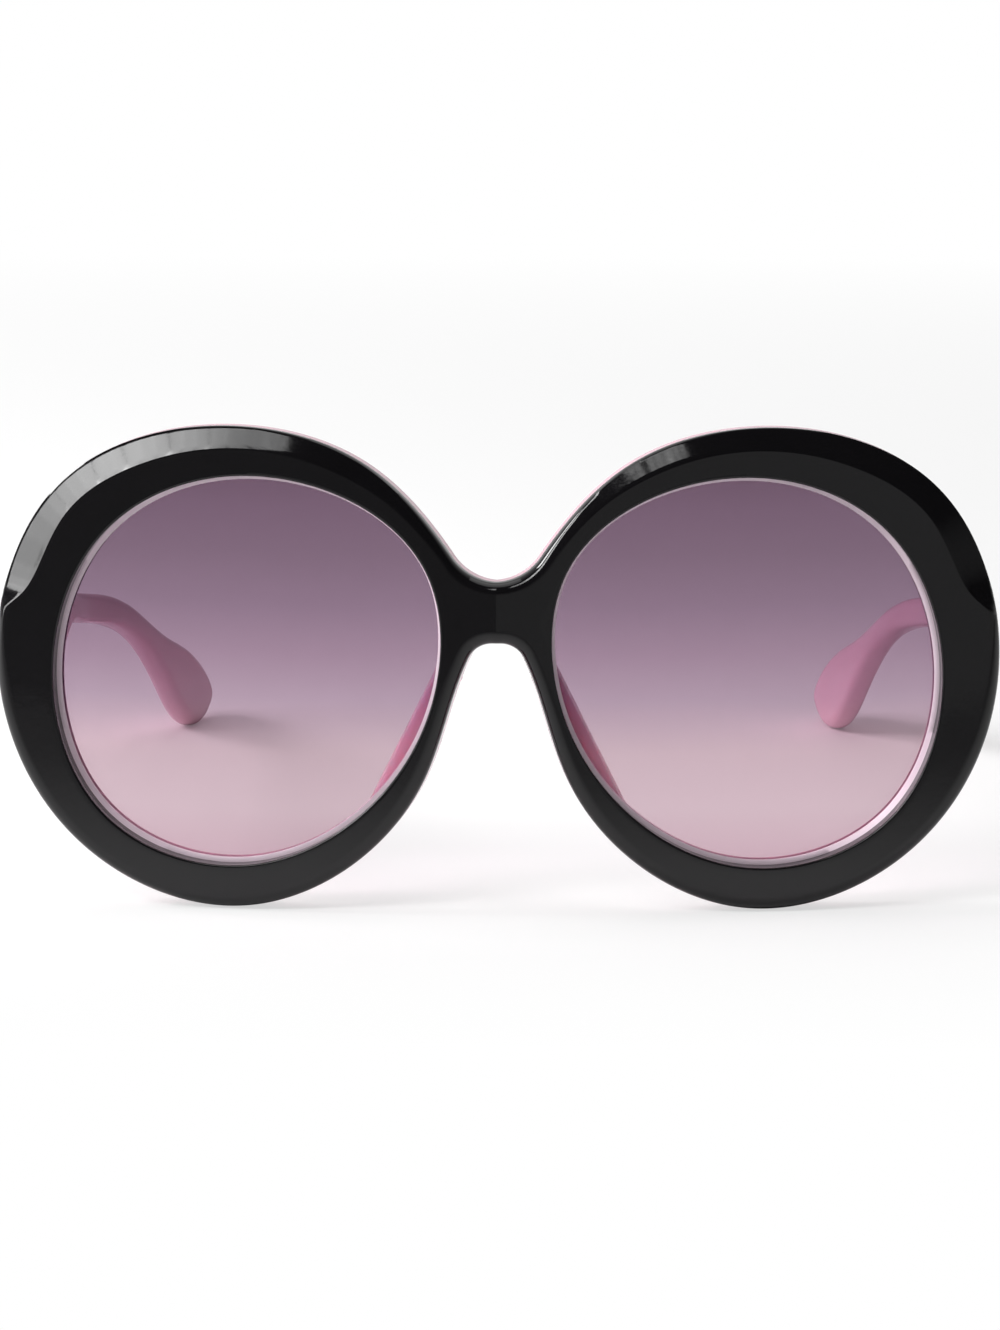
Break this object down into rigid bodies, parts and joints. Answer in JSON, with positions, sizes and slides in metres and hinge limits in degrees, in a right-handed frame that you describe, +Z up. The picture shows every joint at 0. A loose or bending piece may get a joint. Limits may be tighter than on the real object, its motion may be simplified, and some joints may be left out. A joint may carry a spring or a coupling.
{
  "type": "oversized sunglasses",
  "caption": "Oversized round sunglasses with a black brow-bevelled front on a pink backing, gradient lenses, nose pads and folding side arms on barrel hinges.",
  "frame": {"origin": "bottom centre of the bounding box, on the surface the open sunglasses stand on", "axes": "+X to the wearer's left, +Y from the front to the arm tips, +Z up; lowest rim points and arm tips rest at Z 0"},
  "size_m": [0.1516, 0.1358, 0.0731],
  "materials": {
    "black_acetate": "gloss",
    "pink_acetate": "gloss",
    "tinted_lens": "gloss",
    "hinge_steel": "satin",
    "screw_steel": "polished",
    "wire_steel": "satin"
  },
  "bodies": {
    "front": {"front_frame": "black_acetate", "frame_liner": "pink_acetate", "left_lens": "tinted_lens", "right_lens": "tinted_lens", "left_nose_pad": "pink_acetate", "right_nose_pad": "pink_acetate", "left_front_hinge_leaf": "hinge_steel", "right_front_hinge_leaf": "hinge_steel", "hinge_screws": "screw_steel"},
    "left_temple": {"left_temple_arm": "pink_acetate", "left_temple_hinge_leaf": "hinge_steel", "left_temple_core_wire": "wire_steel"},
    "right_temple": {"right_temple_arm": "pink_acetate", "right_temple_hinge_leaf": "hinge_steel", "right_temple_core_wire": "wire_steel"}
  },
  "joints": [
    {"name": "left_temple_fold", "type": "hinge", "parent": "front", "child": "left_temple", "pos_m": [0.06769, -0.05237, 0.03857], "axis": [0, 0.2127, 0.9771], "range_deg": [0, 84]},
    {"name": "right_temple_fold", "type": "hinge", "parent": "front", "child": "right_temple", "pos_m": [-0.06769, -0.05237, 0.03857], "axis": [0, -0.2127, -0.9771], "range_deg": [0, 78]}
  ]
}
